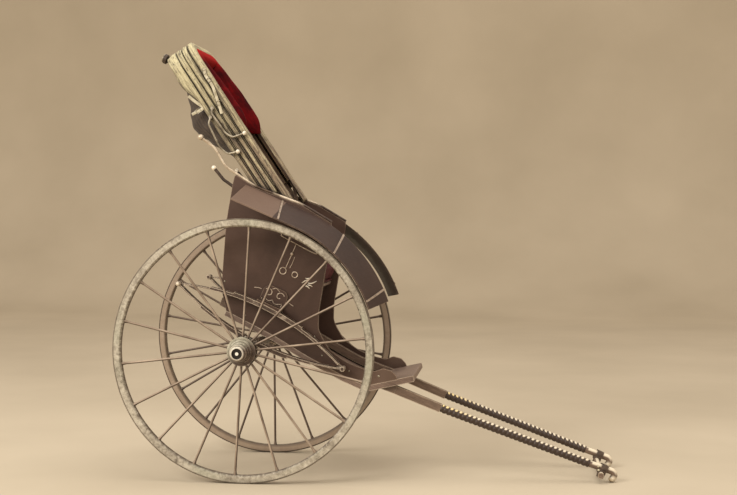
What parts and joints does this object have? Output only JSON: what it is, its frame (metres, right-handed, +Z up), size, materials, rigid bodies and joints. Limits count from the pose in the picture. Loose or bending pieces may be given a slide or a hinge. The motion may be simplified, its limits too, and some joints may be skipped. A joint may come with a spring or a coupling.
{
  "type": "pulled rickshaw",
  "caption": "Two-wheeled passenger cart drawn by one person between shafts, with leaf springs, fenders and a folding hood.",
  "frame": {"origin": "on the floor under the middle of the parked cart's box", "axes": "+X forwards towards the shaft ends, +Y to the cart's left, +Z up; the cart stands parked, nose down on its shaft ends"},
  "size_m": [2.0966, 0.914, 1.8612],
  "materials": {
    "spring_iron": "worn forged iron",
    "body_lacquer": "dark brown-black lacquer",
    "board_wood": "worn dark wood",
    "seat_velvet": "dark red velvet",
    "brass_rail": "worn pale brass",
    "fender_lacquer": "purple-brown lacquer",
    "shaft_wood": "oiled dark wood",
    "binding": "dark binding with pale turns",
    "bright_iron": "polished by use",
    "hood_cloth": "olive-khaki oiled cloth",
    "dark_iron": "dark iron",
    "bow_wood": "brown wood",
    "tyre_iron": "worn iron band",
    "wheel_paint": "pale grey-green worn paint",
    "spoke_iron": "worn rod"
  },
  "bodies": {
    "carriage": {"arm_rails": "brass_rail", "axle": "spring_iron", "back_cushion": "seat_velvet", "back_panel": "body_lacquer", "crossbar": "shaft_wood", "crossbar_lashings": "binding", "fender_irons": "brass_rail", "fenders": "fender_lacquer", "floor_board": "board_wood", "hood_pivots": "bright_iron", "rest_studs": "dark_iron", "seat_board": "board_wood", "seat_cushion": "seat_velvet", "seat_riser": "body_lacquer", "shaft_bindings": "binding", "shaft_caps": "bright_iron", "shaft_left": "shaft_wood", "shaft_right": "shaft_wood", "side_panel_left": "body_lacquer", "side_panel_right": "body_lacquer", "spring_bolts": "spring_iron", "spring_brackets": "body_lacquer", "spring_clips": "spring_iron", "spring_lower": "spring_iron", "spring_seats": "spring_iron", "spring_upper": "spring_iron", "toe_board": "board_wood"},
    "wheel_left": {"wheel_left_tyre": "tyre_iron", "wheel_left_felloe": "wheel_paint", "wheel_left_spokes": "spoke_iron", "wheel_left_hub": "wheel_paint", "wheel_left_hub_cap": "bright_iron"},
    "wheel_right": {"wheel_right_tyre": "tyre_iron", "wheel_right_felloe": "wheel_paint", "wheel_right_spokes": "spoke_iron", "wheel_right_hub": "wheel_paint", "wheel_right_hub_cap": "bright_iron"},
    "hood_1": {"hood_bow_1": "bow_wood", "hood_cloth_1": "hood_cloth", "hood_back_cloth": "hood_cloth", "hood_irons_lower": "bright_iron", "hood_buffers": "dark_iron"},
    "hood_2": {"hood_bow_2": "bow_wood", "hood_cloth_2": "hood_cloth", "hood_irons_upper": "bright_iron"},
    "hood_3": {"hood_bow_3": "bow_wood", "hood_cloth_3": "hood_cloth"},
    "hood_4": {"hood_bow_4": "bow_wood", "hood_cloth_4": "hood_cloth"}
  },
  "joints": [
    {"name": "wheel_left_spin", "type": "hinge", "parent": "carriage", "child": "wheel_left", "pos_m": [-0.49832, 0.35, 0.55], "axis": [0, 1, 0], "continuous": true},
    {"name": "wheel_right_spin", "type": "hinge", "parent": "carriage", "child": "wheel_right", "pos_m": [-0.49832, -0.35, 0.55], "axis": [0, 1, 0], "continuous": true},
    {"name": "hood_fold_1", "type": "hinge", "parent": "carriage", "child": "hood_1", "pos_m": [-0.35885, 0, 1.16591], "axis": [0, 1, 0], "range_deg": [0, 24]},
    {"name": "hood_fold_2", "type": "hinge", "parent": "hood_1", "child": "hood_2", "pos_m": [-0.35885, 0, 1.16591], "axis": [0, 1, 0], "range_deg": [0, 24]},
    {"name": "hood_fold_3", "type": "hinge", "parent": "hood_2", "child": "hood_3", "pos_m": [-0.35885, 0, 1.16591], "axis": [0, 1, 0], "range_deg": [0, 24]},
    {"name": "hood_fold_4", "type": "hinge", "parent": "hood_3", "child": "hood_4", "pos_m": [-0.35885, 0, 1.16591], "axis": [0, 1, 0], "range_deg": [0, 24]}
  ],
  "couplings": [
    {"joint": "hood_fold_2", "follows": "hood_fold_1", "ratio": 1},
    {"joint": "hood_fold_3", "follows": "hood_fold_1", "ratio": 1},
    {"joint": "hood_fold_4", "follows": "hood_fold_1", "ratio": 1}
  ]
}
